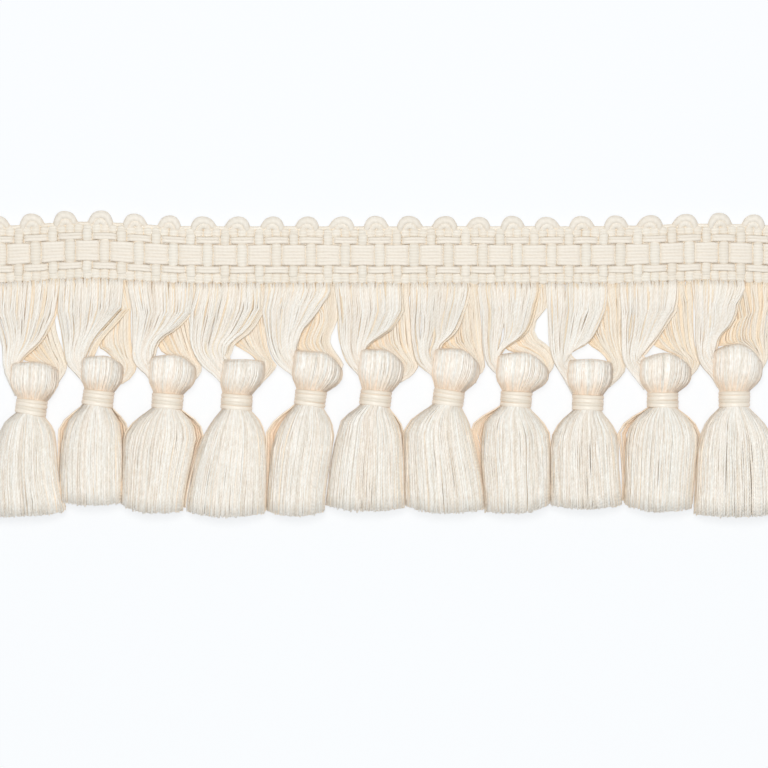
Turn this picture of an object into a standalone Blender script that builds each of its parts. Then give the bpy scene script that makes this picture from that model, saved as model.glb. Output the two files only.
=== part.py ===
# A cut length of ivory tassel fringe trim, lying flat on its back.
# X runs along the trim, +Y points from the tassels to the looped edge of the heading, +Z faces the viewer.
# The origin is the middle of the heading's flat back. Sizes are in millimetres until a point is placed.
import math
from collections import namedtuple

import bmesh
import bpy
from mathutils import Matrix, Vector

MM = 0.001
GAP = 0.35  # between pieces that touch on the real trim

# Heading: a tape woven of upright ribs, crossed by a wide band between two narrow ones
HEADING_LENGTH = 198.0
HEADING_HALF = 7.5
RIBS = 92
RIBS_A_REPEAT = 4
RIB_PITCH = HEADING_LENGTH / RIBS
REPEAT = RIBS_A_REPEAT * RIB_PITCH
RIB_OVER_WIDE_BAND = 1  # place in each repeat of the rib that passes over the wide band
RIB_OVER_NARROW_BANDS = 3
RIDGE, GROOVE, BAND, RIB_OVER_BAND = 2.4, 1.75, 2.8, 2.65  # heights above the back
CUT_SLOPE = 0.1  # the cut ends lean in by this much
LOOP_RISE, LOOP_HALF_WIDTH, LOOP_SHIFT = 2.3, 2.9, -1.25  # loops along the top edge, one a repeat
LOOP_CROWN = 0.62  # share of its rise where a loop is highest off the back
BETWEEN_LOOPS = 1.2  # height of the edge between two loops
HeadingRow = namedtuple("HeadingRow", "y kind")
HEADING_ROWS = (
    HeadingRow(-HEADING_HALF, "edge"),
    HeadingRow(-7.1, "ribs"),
    HeadingRow(-4.9, "ribs"),
    HeadingRow(-3.7, "narrow band"),
    HeadingRow(-2.4, "wide band"),
    HeadingRow(2.4, "wide band"),
    HeadingRow(3.7, "narrow band"),
    HeadingRow(4.9, "ribs"),
    HeadingRow(7.0, "loop foot"),
    HeadingRow(7.3, "loop crown"),
    HeadingRow(HEADING_HALF, "loop edge"),
)
# The tape isn't laid quite straight: it bows up by a little at two places
Bow = namedtuple("Bow", "x rise reach")
BOWS = (Bow(-74.5, 1.2, 15.0), Bow(80.5, 0.7, 16.0))

# Net: the fringe yarn below the heading, in locks that cross in front of each tassel
STRIP_BACK = -HEADING_HALF - GAP
STRIP_WIDTH = 0.8
STRIP_FRONT = STRIP_BACK - STRIP_WIDTH
STRIP_LEVELS = (0.2, 1.25, 2.3)  # foot, parting of the two groups, and top
STRIP_END = HEADING_LENGTH / 2 - 0.2
COLUMNS_A_TASSEL = 6
BACK_COLUMNS = (2, 3, 4, 5)  # the columns that also carry a lock of the back group
LEFT_OF_HEAD = 12.25  # from a head's middle to the root of its first lock
END_COLUMNS = 2  # locks past the last tassel's groups
LOCK_GAP = 0.3
LOCK_HALF_THICKNESS = 0.5
# Edges of the two groups at their sections. share runs from the heading (0) to the crossing (1), and on
# from there to just above the head (2). The inner x is from the head's middle, and the outer edge lies at
# a share of the group's reach.
NetSection = namedtuple("NetSection", "outer_share outer inner_share inner_x z")
FRONT_SECTIONS = (
    NetSection(0.28, 1.12, 0.26, 3.6, 2.7),
    NetSection(0.62, 1.06, 0.60, 0.6, 4.1),
    NetSection(1.00, 1.00, 0.97, -2.9, 4.8),
    NetSection(1.80, 0.93, 1.80, -4.5, 4.7),
)
BACK_SECTIONS = (
    NetSection(0.28, 0.80, 0.28, -6.2, 1.2),
    NetSection(0.62, 0.84, 0.66, -4.6, 1.6),
    NetSection(1.00, 0.90, 1.00, -0.9, 2.1),
    NetSection(1.80, 1.00, 1.80, 3.4, 2.7),
)
FRONT_END_Z, BACK_END_Z = 4.3, 3.4
ABOVE_HEAD, BESIDE_HEAD = 0.9, GAP + 0.15  # how far the locks stay clear of a head
# Where the groups meet the head: drop below its top, and the share of its half width there
GroupEnd = namedtuple("GroupEnd", "drop share")
FRONT_ENDS = (GroupEnd(6.4, 1.0), GroupEnd(1.1, 0.90))  # outer, then inner
BACK_ENDS = (GroupEnd(6.2, 1.0), GroupEnd(2.2, 0.97))

# Tassels: each is yarn folded over the net and tied, from left to right as they lie
Tassel = namedtuple(
    "Tassel",
    "tie_x tie_y tilt head_x head_top head_half crossing front_reach back_reach hem_y",
)
TASSELS = (
    Tassel(-87.9, -38.0, -8.0, -86.8, -27.0, 5.8, -25.2, 9.4, 7.3, -65.2),
    Tassel(-71.0, -35.8, -8.0, -69.7, -25.2, 5.1, -23.0, 10.2, 7.5, -62.0),
    Tassel(-53.9, -36.5, -5.0, -52.9, -24.8, 5.4, -22.3, 9.8, 7.2, -64.2),
    Tassel(-36.4, -36.7, -3.0, -34.9, -25.9, 5.3, -22.3, 12.4, 7.6, -64.9),
    Tassel(-18.2, -35.8, -7.0, -16.4, -23.4, 5.9, -19.6, 11.0, 7.0, -64.6),
    Tassel(-1.7, -35.8, -7.0, 0.0, -24.0, 5.4, -22.6, 10.6, 8.0, -63.4),
    Tassel(16.6, -35.7, -8.0, 18.1, -23.3, 5.8, -21.9, 10.8, 7.0, -64.2),
    Tassel(33.4, -36.0, -5.0, 34.9, -24.5, 6.0, -22.8, 10.2, 7.2, -64.0),
    Tassel(51.4, -36.9, -2.0, 51.9, -25.9, 5.6, -21.5, 10.2, 8.2, -63.1),
    Tassel(69.7, -36.3, 0.0, 70.6, -24.3, 6.2, -21.8, 10.4, 8.2, -63.6),
    Tassel(87.9, -36.0, 0.0, 89.1, -22.8, 5.8, -20.2, 10.4, 7.2, -65.0),
)
# Where each tassel's skirt meets its neighbour's, first and last being the free sides
Seam = namedtuple("Seam", "shoulder_x hem_x")
SHOULDER_Y = -46.3
SEAMS = (
    Seam(-98.2, -98.0),
    Seam(-81.4, -80.4),
    Seam(-64.5, -64.9),
    Seam(-45.9, -48.9),
    Seam(-29.2, -29.3),
    Seam(-12.2, -14.2),
    Seam(4.9, 5.6),
    Seam(22.4, 25.1),
    Seam(41.6, 41.9),
    Seam(58.9, 59.9),
    Seam(79.4, 78.2),
    Seam(99.0, 98.8),
)
LOCKS = 14  # around a tassel
NECK_HALF_WIDTH, NECK_HALF_DEPTH = 3.3, 3.0
TIE_HALF_HEIGHT = 2.1
TIE_CENTRE_Z = 3.8
HEAD_HALF_DEPTH = 4.2
# Head from its folded top down to the tie: shares of its height, half width and half depth
HeadSection = namedtuple("HeadSection", "drop width depth")
HEAD_SECTIONS = (
    HeadSection(0.0, 0.70, 0.30),
    HeadSection(0.07, 0.90, 0.66),
    HeadSection(0.22, 1.0, 0.93),
    HeadSection(0.50, 1.0, 1.0),
    HeadSection(0.80, 0.85, 0.93),
)
# Skirt below the tie: share of its length, how far it has spread, half depth, and where its core lies
SkirtSection = namedtuple("SkirtSection", "drop spread half_depth core")
SKIRT_SECTIONS = (
    SkirtSection(0.10, 0.42, 3.6, 0.12),
    SkirtSection(0.32, 0.93, 4.3, 0.22),
    SkirtSection(0.62, 0.99, 4.4, 0.26),
    SkirtSection(1.0, 1.0, 4.0, 0.30),
)
HEM_UNEVEN = 0.6  # locks end this much higher or lower
HEM_WAVE, HEM_SHIFT = 2.4, 1.7  # turn of the unevenness from lock to lock and from tassel to tassel
LOCK_PARTING = 1.1 * LOCK_GAP

# Tie: yarn wound round the neck, its turns raised as ridges
TIE_TURNS = 3
TIE_INNER, TIE_VALLEY, TIE_RIDGE = NECK_HALF_WIDTH + GAP, 3.95, 4.15
TIE_SEGMENTS = 12


def bowed(x):
    """How far the tape lies above its straight line at x."""
    return sum(bow.rise * math.exp(-(((x - bow.x) / bow.reach) ** 2)) for bow in BOWS)


def point(x, y, z):
    return Vector((x, y, z)) * MM


def mix(a, b, share):
    return a + (b - a) * share


def yarn_material(name, colour, roughness):
    material = bpy.data.materials.new(name)
    material.use_nodes = True
    shader = material.node_tree.nodes["Principled BSDF"]
    shader.inputs["Base Color"].default_value = (*colour, 1.0)
    shader.inputs["Roughness"].default_value = roughness
    shader.inputs["Metallic"].default_value = 0.0
    return material


def add_object(name, mesh, material, collection):
    obj = bpy.data.objects.new(name, mesh)
    collection.objects.link(obj)
    if not mesh.materials:
        mesh.materials.append(material)
    return obj


def finished_mesh(bm, name):
    bmesh.ops.recalc_face_normals(bm, faces=bm.faces[:])
    if bm.calc_volume(signed=True) < 0:
        bmesh.ops.reverse_faces(bm, faces=bm.faces[:])
    mesh = bpy.data.meshes.new(name)
    bm.to_mesh(mesh)
    bm.free()
    return mesh


def is_rib_or_beside(column, place):
    """True for the rib at that place in each repeat and for the grooves on either side of it."""
    ribs = [column // 2] if column % 2 else [column // 2 - 1, column // 2]
    return any(rib % RIBS_A_REPEAT == place for rib in ribs)


def relief(kind, column):
    """Height of the weave, where odd columns run along the ribs and even ones along the grooves."""
    on_rib = column % 2 == 1
    if kind == "wide band" and not is_rib_or_beside(column, RIB_OVER_WIDE_BAND):
        return BAND
    if kind == "narrow band" and not is_rib_or_beside(column, RIB_OVER_NARROW_BANDS):
        return BAND
    if "band" in kind:
        return RIB_OVER_BAND if on_rib else GROOVE
    return RIDGE if on_rib else GROOVE


def loop_share(x):
    """1 at the middle of an edge loop and 0 between loops."""
    rib_x = -HEADING_LENGTH / 2 + (RIB_OVER_WIDE_BAND + 0.5) * RIB_PITCH
    offset = (x - rib_x - LOOP_SHIFT + REPEAT / 2) % REPEAT - REPEAT / 2
    return math.sqrt(max(0.0, 1 - (offset / LOOP_HALF_WIDTH) ** 2))


def heading_point(column, row):
    """A point of the tape's face. The first and last columns are the cut ends, down on the back."""
    half = HEADING_LENGTH / 2
    inner = column - 1
    x = max(-half + CUT_SLOPE, min(half - CUT_SLOPE, -half + inner * RIB_PITCH / 2))
    at_end = inner < 0 or inner > 2 * RIBS
    if at_end:
        x = math.copysign(half, inner)
    loop = loop_share(x)
    y, z = row.y, 0.0 if row.kind.endswith("edge") or at_end else relief(row.kind, inner)
    if row.kind == "loop crown":
        y += LOOP_CROWN * LOOP_RISE * loop
        z = 0.0 if at_end else mix(BETWEEN_LOOPS, RIDGE, loop)
    if row.kind == "loop edge":
        y += LOOP_RISE * loop
    return point(x, y + bowed(x), z)


def make_heading(material, collection):
    bm = bmesh.new()
    columns, rows = 2 * RIBS + 2, len(HEADING_ROWS) - 1
    bmesh.ops.create_grid(bm, x_segments=columns, y_segments=rows, size=0.5)
    for vert in bm.verts:
        column, row = round((vert.co.x + 0.5) * columns), round((vert.co.y + 0.5) * rows)
        vert.co = heading_point(column, HEADING_ROWS[row])
    rim = [edge for edge in bm.edges if edge.is_boundary]
    bmesh.ops.triangle_fill(bm, edges=rim, use_beauty=True)  # the flat back
    return add_object("heading", finished_mesh(bm, "heading"), material, collection)


def grow_lock(bm, root, sections):
    """Extrudes a root face through sections, each a list of corners in the order of the root's own."""
    face = root
    for corners in sections:
        face = bmesh.ops.extrude_discrete_faces(bm, faces=[face])["faces"][0]
        for vert, corner in zip(face.verts, corners):
            vert.co = corner


def strip_columns():
    """Where the roots of the locks part along the strip."""
    starts = [tassel.head_x - LEFT_OF_HEAD for tassel in TASSELS]
    starts[0] = -STRIP_END
    pitch = starts[-1] - starts[-2]
    starts.append(starts[-1] + pitch)
    columns = []
    for left, right in zip(starts, starts[1:]):
        columns += [mix(left, right, i / COLUMNS_A_TASSEL) for i in range(COLUMNS_A_TASSEL)]
    last = starts[-1]
    return columns + [mix(last, STRIP_END, i / END_COLUMNS) for i in range(END_COLUMNS + 1)]


def group_edges(tassel, sections, ends, reach, end_z, side):
    """The left and right edges of a group of locks at each section. side is -1 where it bulges left."""
    above = tassel.head_top + ABOVE_HEAD
    edges = []
    for section in sections:
        points = []
        outer = (section.outer_share, side * section.outer * reach)
        for share, x in (outer, (section.inner_share, section.inner_x)):
            y = mix(STRIP_FRONT, tassel.crossing, share)
            if share > 1:
                y = mix(tassel.crossing, above, share - 1)
            points.append(Vector((tassel.head_x + x, y, section.z)))
        edges.append(points)
    last = []
    for end in ends:
        x = tassel.head_x + side * (end.share * tassel.head_half + BESIDE_HEAD)
        last.append(Vector((x, tassel.head_top - end.drop, end_z)))
    edges.append(last)
    return edges if side < 0 else [pair[::-1] for pair in edges]


def lock_sections(edges, first, last, root_order):
    """Corners of one lock, which fills the shares first to last of its group's width."""
    sections = []
    for left, right in edges:
        width = (right - left).length
        trim = LOCK_GAP / 2 / width
        sides = (left.lerp(right, first + trim), left.lerp(right, last - trim))
        corners = []
        for at_right, at_top in root_order:
            rise = LOCK_HALF_THICKNESS if at_top else -LOCK_HALF_THICKNESS
            corners.append((sides[at_right] + Vector((0, 0, rise))) * MM)
        sections.append(corners)
    return sections


def make_net(material, collection):
    bm = bmesh.new()
    columns = strip_columns()
    count = len(columns) - 1
    bmesh.ops.create_grid(bm, x_segments=count, y_segments=2, size=0.5)
    roots = {}
    for face in bm.faces:
        middle = face.calc_center_median()
        roots[int((middle.x + 0.5) * count), int(middle.y > 0)] = face
    for vert in bm.verts:
        column, level = round((vert.co.x + 0.5) * count), round((vert.co.y + 0.5) * 2)
        x = columns[column]
        vert.co = point(x, STRIP_FRONT + bowed(x), STRIP_LEVELS[level])
    extruded = bmesh.ops.extrude_face_region(bm, geom=bm.faces[:])["geom"]
    back = [item for item in extruded if isinstance(item, bmesh.types.BMVert)]
    bmesh.ops.translate(bm, verts=back, vec=(0, (STRIP_BACK - STRIP_FRONT) * MM, 0))

    def grow(column, level, edges, first, last):
        root = roots[column, level]
        centre = root.calc_center_median()
        order = [(int(vert.co.x > centre.x), int(vert.co.z > centre.z)) for vert in root.verts]
        grow_lock(bm, root, lock_sections(edges, first, last, order))

    for number, tassel in enumerate(TASSELS):
        start = number * COLUMNS_A_TASSEL  # the first column of this tassel's groups
        front = group_edges(tassel, FRONT_SECTIONS, FRONT_ENDS, tassel.front_reach, FRONT_END_Z, -1)
        for i in range(COLUMNS_A_TASSEL):
            grow(start + i, 1, front, i / COLUMNS_A_TASSEL, (i + 1) / COLUMNS_A_TASSEL)
        behind = group_edges(tassel, BACK_SECTIONS, BACK_ENDS, tassel.back_reach, BACK_END_Z, 1)
        for i, column in enumerate(BACK_COLUMNS):
            grow(start + column, 0, behind, i / len(BACK_COLUMNS), (i + 1) / len(BACK_COLUMNS))
    return add_object("fringe_net", finished_mesh(bm, "fringe_net"), material, collection)


Section = namedtuple("Section", "centre half_width half_depth tilt")


def neck_section(tassel, along):
    """A section of the neck, along being its distance above the tie's middle."""
    lean = math.radians(tassel.tilt)
    x = tassel.tie_x - along * math.sin(lean)
    y = tassel.tie_y + along * math.cos(lean)
    return Section(Vector((x, y, TIE_CENTRE_Z)), NECK_HALF_WIDTH, NECK_HALF_DEPTH, lean)


def head_section(tassel, shape):
    neck = neck_section(tassel, TIE_HALF_HEIGHT + GAP)
    y = mix(tassel.head_top, neck.centre.y, shape.drop)
    x = mix(tassel.head_x, neck.centre.x, shape.drop**3)
    z = mix(HEAD_HALF_DEPTH, TIE_CENTRE_Z, shape.drop**3)
    return Section(Vector((x, y, z)), shape.width * tassel.head_half, shape.depth * HEAD_HALF_DEPTH, 0.0)


def skirt_section(tassel, seams, shape):
    root = neck_section(tassel, -TIE_HALF_HEIGHT - GAP)
    y = mix(root.centre.y, tassel.hem_y, shape.drop)
    down = (y - SHOULDER_Y) / (tassel.hem_y - SHOULDER_Y)
    free = [mix(seam.shoulder_x, seam.hem_x, down) + side * GAP / 2 for seam, side in zip(seams, (1, -1))]
    neck = [root.centre.x + side * NECK_HALF_WIDTH for side in (-1, 1)]
    left, right = (mix(n, f, shape.spread) for n, f in zip(neck, free))
    z = shape.half_depth * math.cos(math.pi / LOCKS)  # the lowest lock lies level on the ground
    return Section(Vector(((left + right) / 2, y, z)), (right - left) / 2, shape.half_depth, 0.0)


def around(section, angle, reach=1.0, drop=0.0):
    """A point of a section, reach being its share of the way out from the middle."""
    across = Vector((math.cos(section.tilt), math.sin(section.tilt), 0))
    out = across * section.half_width * math.cos(angle)
    out.z += section.half_depth * math.sin(angle)
    return (section.centre + out * reach + Vector((0, drop, 0))) * MM


def make_tassel(number, tassel, seams, material, collection):
    """Head and neck as one shape, whose foot is parted into locks."""
    bm = bmesh.new()
    sections = [neck_section(tassel, -TIE_HALF_HEIGHT - GAP), neck_section(tassel, TIE_HALF_HEIGHT + GAP)]
    sections += [head_section(tassel, shape) for shape in reversed(HEAD_SECTIONS)]
    bmesh.ops.create_cone(bm, cap_ends=True, segments=LOCKS, radius1=1, radius2=1, depth=1)
    upright = [edge for edge in bm.edges if abs(edge.verts[0].co.z - edge.verts[1].co.z) > 0.5]
    bmesh.ops.subdivide_edges(bm, edges=upright, cuts=len(sections) - 2)
    angles = {}
    step = 2 * math.pi / LOCKS
    for vert in bm.verts:
        level = round((vert.co.z + 0.5) * (len(sections) - 1))
        turn = math.floor(math.atan2(-vert.co.y, vert.co.x) / step + 0.01)
        angle = turn * step
        if level == 0:
            angles[vert.index] = angle
        vert.co = around(sections[level], angle)
    foot = next(face for face in bm.faces if all(vert.index in angles for vert in face.verts))
    fan = bmesh.ops.poke(bm, faces=[foot])["faces"]
    skirt = [skirt_section(tassel, seams, shape) for shape in SKIRT_SECTIONS]
    for i, face in enumerate(fan):
        rim = [angles[vert.index] for vert in face.verts if vert.index in angles]
        middle = math.atan2(sum(map(math.sin, rim)), sum(map(math.cos, rim)))
        uneven = HEM_UNEVEN * math.sin(HEM_WAVE * i + HEM_SHIFT * number)
        grown = []
        for section, shape in zip(skirt, SKIRT_SECTIONS):
            narrowed = 1 - LOCK_PARTING / (step * (section.half_width + section.half_depth) / 2)
            corners = []
            for vert in face.verts:
                angle, reach = middle, shape.core
                if vert.index in angles:
                    apart = (angles[vert.index] - middle + math.pi) % (2 * math.pi) - math.pi
                    angle, reach = middle + apart * narrowed, 1.0
                corners.append(around(section, angle, reach, uneven * shape.drop**2))
            grown.append(corners)
        grow_lock(bm, face, grown)
    name = f"tassel_{number:02d}"
    return add_object(name, finished_mesh(bm, name), material, collection)


def tie_mesh():
    """A ring with a ridge for each turn, made once for all the ties."""
    bm = bmesh.new()
    turn = 2 * TIE_HALF_HEIGHT / TIE_TURNS
    outer = [(TIE_VALLEY, -TIE_HALF_HEIGHT)]
    for i in range(TIE_TURNS):
        outer.append((TIE_RIDGE, -TIE_HALF_HEIGHT + (i + 0.5) * turn))
        if i < TIE_TURNS - 1:
            outer.append((TIE_VALLEY, -TIE_HALF_HEIGHT + (i + 1) * turn))
    outer.append((TIE_VALLEY, TIE_HALF_HEIGHT))
    profile = outer + [(TIE_INNER, TIE_HALF_HEIGHT), (TIE_INNER, -TIE_HALF_HEIGHT)]
    verts = [bm.verts.new(point(radius, y, 0)) for radius, y in profile]
    edges = [bm.edges.new((a, b)) for a, b in zip(verts, verts[1:] + verts[:1])]
    bmesh.ops.spin(
        bm,
        geom=verts + edges,
        axis=(0, 1, 0),
        cent=(0, 0, 0),
        angle=2 * math.pi,
        steps=TIE_SEGMENTS,
        use_merge=True,
    )
    flatten = (NECK_HALF_DEPTH + GAP) / TIE_INNER
    bmesh.ops.transform(bm, matrix=Matrix.Diagonal((1, 1, flatten, 1)), verts=bm.verts[:])
    return finished_mesh(bm, "tie")


def main():
    for obj in list(bpy.data.objects):
        bpy.data.objects.remove(obj)
    collection = bpy.data.collections.new("tassel_fringe_trim")
    bpy.context.scene.collection.children.link(collection)
    make_heading(yarn_material("heading_weave", (0.80, 0.74, 0.63), 0.6), collection)
    make_net(yarn_material("net_yarn", (0.82, 0.75, 0.63), 0.5), collection)
    tassel_yarn = yarn_material("tassel_yarn", (0.83, 0.76, 0.64), 0.5)
    tie_yarn = yarn_material("tie_yarn", (0.82, 0.74, 0.60), 0.4)
    tie = tie_mesh()
    for number, tassel in enumerate(TASSELS, start=1):
        make_tassel(number, tassel, SEAMS[number - 1 : number + 1], tassel_yarn, collection)
        ring = add_object(f"tie_{number:02d}", tie, tie_yarn, collection)
        ring.location = point(tassel.tie_x, tassel.tie_y, TIE_CENTRE_Z)
        ring.rotation_euler.z = math.radians(tassel.tilt)


main()
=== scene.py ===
# Ivory tassel fringe trim, lying face up on a pale surface and seen from straight above.
# X runs along the trim, +Y points from the tassels to the looped edge. Sizes below are in millimetres.
import math
import random

import bmesh
import bpy
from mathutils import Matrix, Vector


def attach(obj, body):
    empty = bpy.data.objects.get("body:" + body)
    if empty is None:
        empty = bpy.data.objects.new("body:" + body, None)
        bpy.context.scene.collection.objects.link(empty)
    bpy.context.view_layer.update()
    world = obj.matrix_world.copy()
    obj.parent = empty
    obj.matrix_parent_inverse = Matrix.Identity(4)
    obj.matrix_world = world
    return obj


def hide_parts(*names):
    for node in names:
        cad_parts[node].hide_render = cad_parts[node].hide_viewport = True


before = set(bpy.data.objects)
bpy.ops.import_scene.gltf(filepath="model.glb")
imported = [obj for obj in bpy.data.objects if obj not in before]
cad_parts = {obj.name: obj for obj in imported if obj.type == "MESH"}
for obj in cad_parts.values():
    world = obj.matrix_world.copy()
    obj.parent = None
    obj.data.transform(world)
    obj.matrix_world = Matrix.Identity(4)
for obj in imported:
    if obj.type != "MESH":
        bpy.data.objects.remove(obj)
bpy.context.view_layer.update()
mm = 0.001
print("frame loaded:", len(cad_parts), "nodes")


# Camera, floor and light

# the picture's width at the height of the yarn, plane, seen from a metre up
viewSettings = {"centreY": -32.25, "width": 192.0, "height": 1.0, "sensor": 36.0, "plane": 3.0}


def addCamera():
    data = bpy.data.cameras.new("camera")
    data.sensor_width = viewSettings["sensor"]
    away = viewSettings["height"] - viewSettings["plane"] * mm
    data.lens = viewSettings["sensor"] * away / (viewSettings["width"] * mm)
    data.dof.use_dof = False
    data.clip_start = 0.01
    camera = bpy.data.objects.new("camera", data)
    camera.location = (0.0, viewSettings["centreY"] * mm, viewSettings["height"])
    bpy.context.scene.collection.objects.link(camera)
    bpy.context.scene.camera = camera


# the sky is a soft even white, and the key light comes from behind the looped edge
lightSettings = {
    "key": {"place": (-0.05, 0.16, 1.10), "size": 0.4, "power": 6.3, "colour": (1.0, 0.975, 0.94)},
    "fill": {"place": (0.10, -0.20, 1.05), "size": 0.6, "power": 2.3, "colour": (0.97, 0.985, 1.0)},
    "sky": (0.92, 0.96, 1.0),
    "skyPower": 0.39,
}


def addLight(name, settings):
    data = bpy.data.lights.new(name, "AREA")
    data.shape = "DISK"
    data.size = settings["size"]
    data.energy = settings["power"]
    data.color = settings["colour"]
    light = bpy.data.objects.new(name, data)
    light.location = settings["place"]
    toMiddle = Vector((0.0, -0.028, 0.0)) - Vector(settings["place"])
    light.rotation_euler = toMiddle.to_track_quat("-Z", "Y").to_euler()
    bpy.context.scene.collection.objects.link(light)


def addWorld():
    world = bpy.data.worlds.new("softWhite")
    world.use_nodes = True
    background = world.node_tree.nodes["Background"]
    background.inputs["Color"].default_value = (*lightSettings["sky"], 1.0)
    background.inputs["Strength"].default_value = lightSettings["skyPower"]
    bpy.context.scene.world = world


floorSettings = {"size": 3.0, "drop": 0.05, "colour": (0.245, 0.25, 0.255), "roughness": 0.9, "glow": 2.9}


def addFloor():
    bm = bmesh.new()
    bmesh.ops.create_grid(bm, x_segments=1, y_segments=1, size=floorSettings["size"] / 2)
    bmesh.ops.translate(bm, verts=bm.verts[:], vec=(0, 0, -floorSettings["drop"] * mm))
    mesh = bpy.data.meshes.new("floor")
    bm.to_mesh(mesh)
    bm.free()
    floor = bpy.data.objects.new("floor", mesh)
    bpy.context.scene.collection.objects.link(floor)
    material = bpy.data.materials.new("paleFloor")
    material.use_nodes = True
    shader = material.node_tree.nodes["Principled BSDF"]
    shader.inputs["Base Color"].default_value = (*floorSettings["colour"], 1.0)
    shader.inputs["Roughness"].default_value = floorSettings["roughness"]
    shader.inputs["Specular IOR Level"].default_value = 0.0
    shader.inputs["Emission Color"].default_value = (*floorSettings["colour"], 1.0)
    shader.inputs["Emission Strength"].default_value = floorSettings["glow"]
    mesh.materials.append(material)


# Finishes

def addGroup(name, inputs, outputs):
    group = bpy.data.node_groups.new(name, "ShaderNodeTree")
    for label, kind, value in inputs:
        socket = group.interface.new_socket(name=label, in_out="INPUT", socket_type=kind)
        if value is not None:
            socket.default_value = value
    for label, kind in outputs:
        group.interface.new_socket(name=label, in_out="OUTPUT", socket_type=kind)
    return group, group.nodes.new("NodeGroupInput"), group.nodes.new("NodeGroupOutput")


def addMath(tree, operation, first, second=None):
    node = tree.nodes.new("ShaderNodeMath")
    node.operation = operation
    for socket, value in zip(node.inputs, (first, second)):
        if isinstance(value, (int, float)):
            socket.default_value = value
        elif value is not None:
            tree.links.new(value, socket)
    return node.outputs[0]


# ridges that wind round a strand, from its own UV map: U runs along it and V round it
def makeTwistGroup():
    group, source, result = addGroup(
        "twistedPly",
        [
            ("UV", "NodeSocketVector", None),
            ("Turns", "NodeSocketFloat", 30.0),
            ("Plies", "NodeSocketFloat", 2.0),
        ],
        [("Height", "NodeSocketFloat")],
    )
    split = group.nodes.new("ShaderNodeSeparateXYZ")
    group.links.new(source.outputs["UV"], split.inputs[0])
    along = addMath(group, "MULTIPLY", split.outputs[0], source.outputs["Turns"])
    around = addMath(group, "MULTIPLY", split.outputs[1], source.outputs["Plies"])
    start = group.nodes.new("ShaderNodeNewGeometry").outputs["Random Per Island"]
    turn = addMath(group, "ADD", along, around)
    turn = addMath(group, "ADD", turn, addMath(group, "MULTIPLY", start, 7.0))
    wave = addMath(group, "SINE", addMath(group, "MULTIPLY", turn, math.tau))
    lifted = addMath(group, "MULTIPLY", addMath(group, "ADD", wave, 1.0), 0.5)
    group.links.new(lifted, result.inputs["Height"])
    return group


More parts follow.
